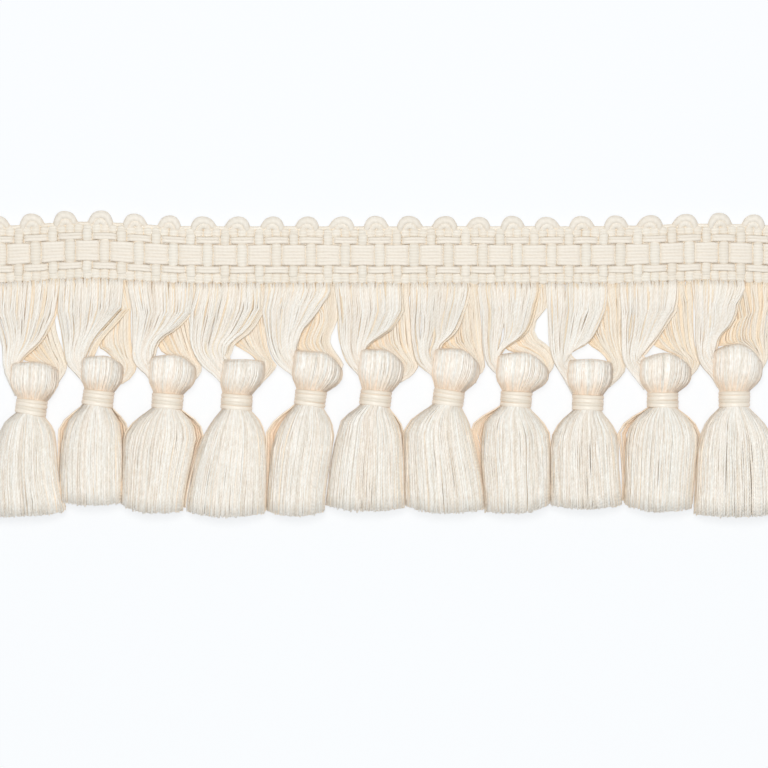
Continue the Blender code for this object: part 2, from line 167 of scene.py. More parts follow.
# painted warm shade low in the pile, near a strand's start, on its sides and in its ply grooves, and a
# fine streak of lighter and darker fibres
def makeToneAndShadeGroup():
    group, source, result = addGroup(
        "pileToneAndShade",
        [
            ("Place", "NodeSocketVector", None),
            ("Light", "NodeSocketColor", (0.9, 0.85, 0.75, 1.0)),
            ("Deep", "NodeSocketColor", (0.85, 0.65, 0.42, 1.0)),
            ("Deep height", "NodeSocketFloat", 0.001),
            ("Light height", "NodeSocketFloat", 0.004),
            ("Streak", "NodeSocketFloat", 0.06),
            ("Ply", "NodeSocketFloat", 1.0),
            ("Ply shade", "NodeSocketFloat", 0.05),
            ("Along", "NodeSocketFloat", 0.5),
            ("Start shade", "NodeSocketFloat", 0.0),
            ("Shade length", "NodeSocketFloat", 0.3),
            ("Around", "NodeSocketFloat", 0.25),
            ("Side shade", "NodeSocketFloat", 0.3),
            ("Variety", "NodeSocketFloat", 1.0),
        ],
        [("Color", "NodeSocketColor")],
    )
    strand = group.nodes.new("ShaderNodeNewGeometry").outputs["Random Per Island"]
    split = group.nodes.new("ShaderNodeSeparateXYZ")
    group.links.new(source.outputs["Place"], split.inputs[0])
    # painted shade: yarn low in the pile is blended towards the deep colour
    height = group.nodes.new("ShaderNodeMapRange")
    height.interpolation_type = "SMOOTHSTEP"
    group.links.new(split.outputs[2], height.inputs["Value"])
    group.links.new(source.outputs["Deep height"], height.inputs["From Min"])
    group.links.new(source.outputs["Light height"], height.inputs["From Max"])
    # painted shade near a strand's start too, further along for some than for others
    start = group.nodes.new("ShaderNodeMapRange")
    start.interpolation_type = "SMOOTHSTEP"
    begun = addMath(group, "SUBTRACT", source.outputs["Along"], addMath(group, "MULTIPLY", strand, 0.2))
    group.links.new(begun, start.inputs["Value"])
    group.links.new(source.outputs["Shade length"], start.inputs["From Max"])
    group.links.new(source.outputs["Start shade"], start.inputs["To Min"])
    start.inputs["To Max"].default_value = 0.0
    raised = addMath(group, "SUBTRACT", height.outputs["Result"], start.outputs["Result"])
    # and painted shade on its two sides, where it meets its neighbours
    turned = addMath(group, "SINE", addMath(group, "MULTIPLY", source.outputs["Around"], math.tau))
    side = group.nodes.new("ShaderNodeMapRange")
    side.interpolation_type = "SMOOTHSTEP"
    group.links.new(addMath(group, "ABSOLUTE", turned), side.inputs["Value"])
    side.inputs["From Max"].default_value = 0.8
    group.links.new(source.outputs["Side shade"], side.inputs["To Min"])
    side.inputs["To Max"].default_value = 0.0
    raised = addMath(group, "SUBTRACT", raised, side.outputs["Result"])
    raised = addMath(group, "MAXIMUM", raised, 0.0)
    tone = group.nodes.new("ShaderNodeMix")
    tone.data_type = "RGBA"
    group.links.new(raised, tone.inputs["Factor"])
    group.links.new(source.outputs["Deep"], tone.inputs[6])
    group.links.new(source.outputs["Light"], tone.inputs[7])
    # fine fibres run down the strand
    stretched = group.nodes.new("ShaderNodeMapping")
    stretched.inputs["Scale"].default_value = (2600.0, 800.0, 1500.0)
    group.links.new(source.outputs["Place"], stretched.inputs["Vector"])
    fibres = group.nodes.new("ShaderNodeTexNoise")
    fibres.inputs["Scale"].default_value = 1.0
    fibres.inputs["Detail"].default_value = 3.0
    group.links.new(stretched.outputs["Vector"], fibres.inputs["Vector"])
    grain = addMath(group, "SUBTRACT", fibres.outputs["Fac"], 0.5)
    swing = addMath(group, "MULTIPLY", grain, source.outputs["Streak"])
    ownShade = addMath(group, "MULTIPLY", addMath(group, "SUBTRACT", strand, 0.5), 0.07)
    swing = addMath(group, "ADD", swing, addMath(group, "MULTIPLY", ownShade, source.outputs["Variety"]))
    # painted shade in the grooves of the twist darkens the strand
    valley = addMath(group, "SUBTRACT", 1.0, source.outputs["Ply"])
    valley = addMath(group, "MULTIPLY", valley, source.outputs["Ply shade"])
    swing = addMath(group, "SUBTRACT", swing, valley)
    # some strands are a little pinker and some a little greener than the rest
    hue = addMath(group, "FRACT", addMath(group, "MULTIPLY", strand, 13.7))
    hue = addMath(group, "MULTIPLY", addMath(group, "SUBTRACT", hue, 0.5), source.outputs["Variety"])
    tint = group.nodes.new("ShaderNodeCombineXYZ")
    # a darker fibre, like the painted shade in the grooves, is more golden than a light one
    for channel, (hueShare, shadeShare) in enumerate(((0.02, 1.55), (-0.025, 2.0), (-0.06, 2.6))):
        shade = addMath(group, "ADD", addMath(group, "MULTIPLY", swing, shadeShare), 1.0)
        level = addMath(group, "ADD", addMath(group, "MULTIPLY", hue, hueShare), shade)
        group.links.new(level, tint.inputs[channel])
    varied = group.nodes.new("ShaderNodeVectorMath")
    varied.operation = "MULTIPLY"
    group.links.new(tone.outputs[2], varied.inputs[0])
    group.links.new(tint.outputs[0], varied.inputs[1])
    group.links.new(varied.outputs[0], result.inputs["Color"])
    return group


twistGroup = makeTwistGroup()
toneAndShadeGroup = makeToneAndShadeGroup()

# light: the yarn's own tone; deep: painted shade on sunk yarn, blended in between their two heights in
# millimetres
# turns and plies: twist along and round a strand; ridge: its height in millimetres; plyShade: painted
# shade in its grooves
# the side and start values: painted shade on a strand's two sides and near its start
finishes = {
    "heading_weave": {
        "light": (0.9, 0.842, 0.745), "deep": (0.93, 0.8, 0.63), "deepHeight": 1.0, "lightHeight": 2.0,
        "streak": 0.04, "turns": 20, "plies": 0.0, "ridge": 0.07, "plyShade": 0.04, "roughness": 0.6,
        "sideShade": 0.6, "variety": 0.35,
    },
    "heading_band": {
        "light": (0.86, 0.796, 0.7), "deep": (0.91, 0.8, 0.66), "deepHeight": 1.6, "lightHeight": 2.5,
        "streak": 0.03, "turns": 180.0, "plies": 1.0, "ridge": 0.01, "plyShade": 0.01, "roughness": 0.45,
        "sideShade": 0.4, "variety": 0.4,
    },
    "heading_loop": {
        "light": (0.885, 0.83, 0.74), "deep": (0.88, 0.78, 0.65), "deepHeight": 1.2, "lightHeight": 2.6,
        "streak": 0.05, "turns": 7, "plies": 2.0, "ridge": 0.02, "plyShade": 0.02, "roughness": 0.55,
        "sideShade": 0.4, "variety": 0.3,
    },
    "net_front": {
        "light": (0.892, 0.845, 0.77), "deep": (0.95, 0.79, 0.59), "deepHeight": 0.5, "lightHeight": 2.6,
        "streak": 0.12, "turns": 28.0, "plies": 2.0, "ridge": 0.02, "plyShade": 0.03, "roughness": 0.42,
        "sideShade": 0.42,
    },
    # the rear group and the yarns that turn over: a darker, more golden copy of the net's finish, painted
    # shade for yarn that lies lower
    "net_rear_shaded": {
        "light": (0.865, 0.785, 0.67), "deep": (0.92, 0.81, 0.66), "deepHeight": 0.5, "lightHeight": 2.6,
        "streak": 0.1, "turns": 28.0, "plies": 2.0, "ridge": 0.02, "plyShade": 0.03, "roughness": 0.42,
        "sideShade": 0.5,
    },
    # yarn laid under the rest: golden painted shade
    "net_under_shaded": {
        "light": (0.885, 0.765, 0.6), "deep": (0.91, 0.74, 0.54), "deepHeight": 0.5, "lightHeight": 3.6,
        "streak": 0.08, "turns": 28.0, "plies": 2.0, "ridge": 0.02, "plyShade": 0.03, "roughness": 0.42,
        "sideShade": 0.4,
    },
    # the head: painted shade near the tie, low on the fold and at the strands' sides
    "tassel_head": {
        "light": (0.95, 0.902, 0.825), "deep": (0.92, 0.76, 0.6), "deepHeight": 4, "lightHeight": 7.4,
        "streak": 0.26, "turns": 9.0, "plies": 1.0, "ridge": 0.02, "plyShade": 0.02, "roughness": 0.36,
        "startShade": 1, "shadeLength": 0.3, "sideShade": 0.35, "variety": 1.5,
    },
    "tassel_skirt": {
        "light": (0.93, 0.882, 0.802), "deep": (0.97, 0.81, 0.625), "deepHeight": 1.2, "lightHeight": 6.6,
        "streak": 0.22, "turns": 42, "plies": 2.0, "ridge": 0.03, "plyShade": 0.035, "roughness": 0.42,
        "sideShade": 0.35, "variety": 1.25,
    },
    # yarn under a skirt and the core inside it: golden painted shade
    "tassel_under_shaded": {
        "light": (0.97, 0.858, 0.71), "deep": (0.95, 0.79, 0.61), "deepHeight": 1.5, "lightHeight": 6.0,
        "streak": 0.16, "turns": 42, "plies": 2.0, "ridge": 0.03, "plyShade": 0.035, "roughness": 0.42,
        "sideShade": 0.35,
    },
    # the tie: painted shade on the sides of each turn and where the turns meet
    "tie_winding": {
        "light": (0.915, 0.845, 0.735), "deep": (0.88, 0.715, 0.54), "deepHeight": 3.8, "lightHeight": 7.3,
        "streak": 0.05, "turns": 1.0, "plies": 6.0, "ridge": 0.015, "plyShade": 0.02, "roughness": 0.34,
        "sideShade": 1,
    },
}


def makeFinish(name):
    settings = finishes[name]
    material = bpy.data.materials.new(name)
    material.use_nodes = True
    tree = material.node_tree
    shader = tree.nodes["Principled BSDF"]
    shader.inputs["Roughness"].default_value = settings["roughness"]
    shader.inputs["Sheen Weight"].default_value = 0.15
    shader.inputs["Sheen Roughness"].default_value = 0.4
    shader.inputs["Specular IOR Level"].default_value = 0.45
    place = tree.nodes.new("ShaderNodeTexCoord")
    tone = tree.nodes.new("ShaderNodeGroup")
    tone.node_tree = toneAndShadeGroup
    for label, value in (
        ("Light", (*settings["light"], 1.0)),
        ("Deep", (*settings["deep"], 1.0)),
        ("Deep height", settings["deepHeight"] * mm),
        ("Light height", settings["lightHeight"] * mm),
        ("Streak", settings["streak"]),
        ("Ply shade", settings["plyShade"]),
        ("Side shade", settings["sideShade"]),
        ("Variety", settings.get("variety", 1.0)),
        ("Start shade", settings.get("startShade", 0.0)),
        ("Shade length", settings.get("shadeLength", 0.3)),
    ):
        tone.inputs[label].default_value = value
    tree.links.new(place.outputs["Object"], tone.inputs["Place"])
    tree.links.new(tone.outputs["Color"], shader.inputs["Base Color"])
    strand = tree.nodes.new("ShaderNodeUVMap")
    strand.uv_map = "UVMap"
    ends = tree.nodes.new("ShaderNodeSeparateXYZ")
    tree.links.new(strand.outputs["UV"], ends.inputs[0])
    tree.links.new(ends.outputs[0], tone.inputs["Along"])
    tree.links.new(ends.outputs[1], tone.inputs["Around"])
    twist = tree.nodes.new("ShaderNodeGroup")
    twist.node_tree = twistGroup
    twist.inputs["Turns"].default_value = settings["turns"]
    twist.inputs["Plies"].default_value = settings["plies"]
    tree.links.new(strand.outputs["UV"], twist.inputs["UV"])
    bump = tree.nodes.new("ShaderNodeBump")
    bump.inputs["Strength"].default_value = 1.0
    bump.inputs["Distance"].default_value = settings["ridge"] * mm
    tree.links.new(twist.outputs["Height"], bump.inputs["Height"])
    tree.links.new(twist.outputs["Height"], tone.inputs["Ply"])
    tree.links.new(bump.outputs["Normal"], shader.inputs["Normal"])
    return material


materials = {name: makeFinish(name) for name in finishes}


# Strands

def blend(first, second, share):
    return first + (second - first) * share


# reads a list of (place, value) between its stops
def readAt(stops, place):
    for (a, first), (b, second) in zip(stops, stops[1:]):
        if place <= b:
            return blend(first, second, (place - a) / (b - a))
    return stops[-1][1]


# points of a smooth line through all the stops, spread evenly from stop to stop
def smoothed(stops, count):
    ends = [stops[0], *stops, stops[-1]]
    line = []
    for step in range(count + 1):
        place = step / count * (len(stops) - 1)
        index = min(int(place), len(stops) - 2)
        t = place - index
        line.append(tuple(
            (2 * b + (c - a) * t + (2 * a - 5 * b + 4 * c - d) * t**2 + (3 * b - a - 3 * c + d) * t**3) / 2
            for a, b, c, d in zip(*ends[index : index + 4])
        ))
    return line


# an oval section for strands, flat being its height for its width
def makeProfile(radius, flat, corners):
    outline = bpy.data.curves.new("strandProfile", "CURVE")
    ring = outline.splines.new("POLY")
    ring.points.add(corners - 1)
    for index, point in enumerate(ring.points):
        angle = index * math.tau / corners
        point.co = (radius * mm * math.cos(angle), radius * mm * math.sin(angle) * flat, 0.0, 1.0)
    ring.use_cyclic_u = True
    profile = bpy.data.objects.new("strandProfile", outline)
    bpy.context.scene.collection.objects.link(profile)
    return profile


# paths are lists of (x, y, z), or of (x, y, z, share of the radius), in millimetres
def addStrandCurve(paths, radius, flat, corners, closed):
    curve = bpy.data.curves.new("strands", "CURVE")
    curve.dimensions = "3D"
    curve.use_fill_caps = not closed
    curve.bevel_mode = "OBJECT"
    curve.bevel_object = makeProfile(radius, flat, corners)
    for path in paths:
        spline = curve.splines.new("POLY")
        spline.points.add(len(path) - 1)
        spline.use_cyclic_u = closed
        for point, stop in zip(spline.points, path):
            point.co = (stop[0] * mm, stop[1] * mm, stop[2] * mm, 1.0)
            point.radius = stop[3] if len(stop) > 3 else 1.0
    guide = bpy.data.objects.new("strands", curve)
    bpy.context.scene.collection.objects.link(guide)
    return guide


# one mesh of many strands
def makeStrands(name, paths, radius, finish, node, flat=1.0, corners=6, closed=False):
    guide = addStrandCurve(paths, radius, flat, corners, closed)
    profile = guide.data.bevel_object
    bpy.context.view_layer.update()
    mesh = bpy.data.meshes.new_from_object(guide.evaluated_get(bpy.context.evaluated_depsgraph_get()))
    mesh.name = name
    bpy.data.objects.remove(guide)
    bpy.data.objects.remove(profile)
    bm = bmesh.new()
    bm.from_mesh(mesh)
    bmesh.ops.remove_doubles(bm, verts=bm.verts[:], dist=0.000001)
    bmesh.ops.recalc_face_normals(bm, faces=bm.faces[:])
    bm.to_mesh(mesh)
    bm.free()
    mesh.materials.clear()
    return addPiece(name, mesh, finish, node)


def addPiece(name, mesh, finish, node):
    mesh.materials.append(materials[finish])
    mesh.shade_smooth()
    for face in mesh.polygons:
        face.use_smooth = len(face.vertices) < 5  # the cut ends stay flat
    piece = bpy.data.objects.new(name, mesh)
    bpy.context.scene.collection.objects.link(piece)
    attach(piece, "root")
    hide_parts(node)
    triangles = sum(len(face.vertices) - 2 for face in mesh.polygons)
    print(name, triangles, "triangles")
    return piece


# Heading

heading = {
    "length": 198.0, "half": 7.5, "ribs": 92, "repeat": 4, "overWide": 1, "overNarrow": 3,
    "ribRadius": 1.32, "ribFlat": 0.5, "ribSteps": 46, "ribTop": 6.85, "ribFoot": -7.9,
    "lean": 0.12, "wander": 0.05, "endDrop": 0.8, "footDrop": 0.35,
    "plain": 1.5, "over": 1.95, "under": 1.3, "swell": 1.15,
    # middle, rise and reach of each place where the tape bows up
    "bows": ((-74.5, 1.2, 15.0), (80.5, 0.7, 16.0)),
}
ribPitch = heading["length"] / heading["ribs"]
repeatLength = ribPitch * heading["repeat"]


def bowed(x):
    return sum(rise * math.exp(-(((x - middle) / reach) ** 2)) for middle, rise, reach in heading["bows"])


def ribX(index):
    return -heading["length"] / 2 + (index + 0.5) * ribPitch


# height of a rib's middle: it climbs over the bands it crosses and ducks under the others
def ribHeight(place, y):
    plain, over, under = heading["plain"], heading["over"], heading["under"]
    if place == heading["overWide"]:
        stops = ((-9, plain), (-5.3, plain), (-4.5, under), (-3.0, under), (-2.3, over), (2.3, over),
                 (3.0, under), (4.5, under), (5.3, plain), (9, plain))
    elif place == heading["overNarrow"]:
        stops = ((-9, plain), (-5.4, plain), (-4.7, over), (-3.2, over), (-2.3, under),
                 (2.3, under), (3.2, over), (4.7, over), (5.4, plain), (9, plain))
    else:
        stops = ((-9, plain), (-5.3, plain), (-4.5, under), (4.5, under), (5.3, plain), (9, plain))
    return readAt(stops, y)


def ribPaths():
    chance = random.Random(11)
    paths = []
    for index in range(heading["ribs"]):
        place = index % heading["repeat"]
        x = ribX(index)
        lean, full = chance.uniform(-heading["lean"], heading["lean"]), chance.uniform(0.96, 1.03)
        top = heading["ribTop"] + chance.uniform(-0.15, 0.15)
        count = heading["ribSteps"]
        path = []
        for step in range(count + 1):
            y = blend(heading["ribFoot"], top, step / count)
            swell = 1.0
            if place == heading["overWide"]:
                swell = blend(heading["swell"], 1.0, min(1.0, max(0.0, abs(y) - 1.6)))
            taper = min(1.0, 0.5 + 0.5 * min(step / 4, (count - step) / 2))
            wander = heading["wander"] * math.sin(y * 2.1 + index * 1.3)
            z = ribHeight(place, y) - (1 - taper) * heading["endDrop"]
            z -= heading["footDrop"] * max(0.0, -6.7 - y)
            path.append((x + lean * y / 7.0 + wander, y + bowed(x), z, full * swell * taper))
        paths.append(path)
    return paths


bandSettings = {
    "wide": {"rows": (-2.02, -1.21, -0.40, 0.40, 1.21, 2.02), "half": 0.62, "under": "overWide"},
    "upper": {"rows": (3.30, 4.05), "half": 0.56, "under": "overNarrow"},
    "lower": {"rows": (-3.30, -4.05), "half": 0.56, "under": "overNarrow"},
    "flat": 0.5, "top": 2.12, "dip": 1.0, "reach": 0.73, "bulge": 0.07,
}


def bandPaths(settings):
    chance = random.Random(23)
    paths = []
    overPlace = heading[settings["under"]]
    for row in settings["rows"]:
        path = []
        count = heading["ribs"] * 4
        lift, shift = chance.uniform(-0.05, 0.05), chance.uniform(0, math.tau)
        for step in range(count + 1):
            x = blend(-heading["length"] / 2 + 0.15, heading["length"] / 2 - 0.15, step / count)
            offset = (x - ribX(overPlace) + repeatLength / 2) % repeatLength - repeatLength / 2
            away = abs(offset) / (ribPitch * bandSettings["reach"])
            hidden = min(1.0, max(0.0, 1.0 - away**2) * 1.5)
            z = blend(bandSettings["top"], bandSettings["dip"], hidden) + lift
            crown = bandSettings["bulge"] * math.cos(math.tau * offset / repeatLength)
            y = row * (1 - 0.10 * hidden) + bowed(x) + 0.05 * math.sin(x * 0.9 + shift)
            path.append((x, y, z - crown))
        paths.append(path)
    return paths


loopSettings = {
    "shift": -1.05, "radius": 0.92, "rise": 8.95, "inner": 1.05,
    # how far each loop's top stands above or below the usual, from left to right
    "tops": (0.1, 0.2, 0.3, 0.35, 0.1, 0.1, 0.0, 0.0, 0.0, 0.0, 0.0, 0.15,
             0.15, 0.1, -0.1, 0.15, -0.1, 0.1, 0.15, 0.0, 0.0, 0.25, 0.1),
}


def loopPaths():
    chance = random.Random(5)
    paths = []
    for number, top in enumerate(loopSettings["tops"]):
        x = ribX(heading["overWide"] + number * heading["repeat"]) + loopSettings["shift"]
        x += chance.uniform(-0.15, 0.15)
        wide = chance.uniform(0.94, 1.08)
        rise = loopSettings["rise"] + top
        up = bowed(x)
        side = -1 if chance.random() < 0.3 else 1
        # a fat turn of cord, which stands over a smaller one
        outer = (
            (-2.1, 5.9, 1.0, 0.8), (-2.2, 6.6, 1.45, 0.95), (-1.95, 7.5, 1.7, 1.05),
            (-1.15, rise - 0.55, 1.75, 1.2), (0.1, rise - 0.35, 1.7, 1.2), (1.3, rise - 0.75, 1.6, 1.1),
            (2.1, 7.35, 1.4, 0.95), (2.6, 6.75, 1.1, 0.8), (2.7, 6.0, 0.9, 0.7),
        )
        paths.append([(x + side * dx * wide, y + up, z, r) for dx, y, z, r in smoothed(outer, 24)])
        inner = (
            (-0.9, 5.8, 1.1, 0.8), (-0.95, 6.6, 1.4, 0.9), (-0.4, 7.35, 1.55, 1.0), (0.35, 7.4, 1.55, 1.0),
            (1.05, 6.8, 1.4, 0.9), (1.1, 5.8, 1.1, 0.8),
        )
        swell = loopSettings["inner"]
        paths.append([(x + side * dx * wide, y + up, z, r * swell) for dx, y, z, r in smoothed(inner, 12)])
    return paths


edgeSettings = {"radius": 0.5, "y": 6.72, "z": 1.35, "inset": 0.2, "steps": 240}


def edgeCordPath():
    chance = random.Random(8)
    end = heading["length"] / 2 - edgeSettings["inset"]
    path = []
    for step in range(edgeSettings["steps"] + 1):
        x = blend(-end, end, step / edgeSettings["steps"])
        y = edgeSettings["y"] + bowed(x) + chance.uniform(-0.06, 0.06)
        path.append((x, y, edgeSettings["z"] + chance.uniform(-0.04, 0.04)))
    return path


groundSettings = {"cells": (66, 4), "top": 1.15, "thickness": 1.1, "endInset": 0.1, "sideInset": 0.3}
groundLength = heading["length"] - 2 * groundSettings["endInset"]
groundWidth = 2 * (heading["half"] - groundSettings["sideInset"])


# the plain cloth under the ribs: a thin closed sheet with the tape's gentle bow
def makeHeadingGround():
    bm = bmesh.new()
    across, deep = groundSettings["cells"]
    bmesh.ops.create_grid(bm, x_segments=across, y_segments=deep, size=0.5)
    for vert in bm.verts:
        x = vert.co.x * groundLength
        vert.co = Vector((x, vert.co.y * groundWidth + bowed(x), groundSettings["top"])) * mm
    raised = bmesh.ops.extrude_face_region(bm, geom=bm.faces[:])["geom"]
    bottom = [item for item in raised if isinstance(item, bmesh.types.BMVert)]
    bmesh.ops.translate(bm, verts=bottom, vec=(0, 0, -groundSettings["thickness"] * mm))
    bmesh.ops.recalc_face_normals(bm, faces=bm.faces[:])
    mesh = bpy.data.meshes.new("headingGround")
    bm.to_mesh(mesh)
    bm.free()
    mesh.uv_layers.new(name="UVMap")
    return addPiece("headingGround", mesh, "heading_band", "heading")
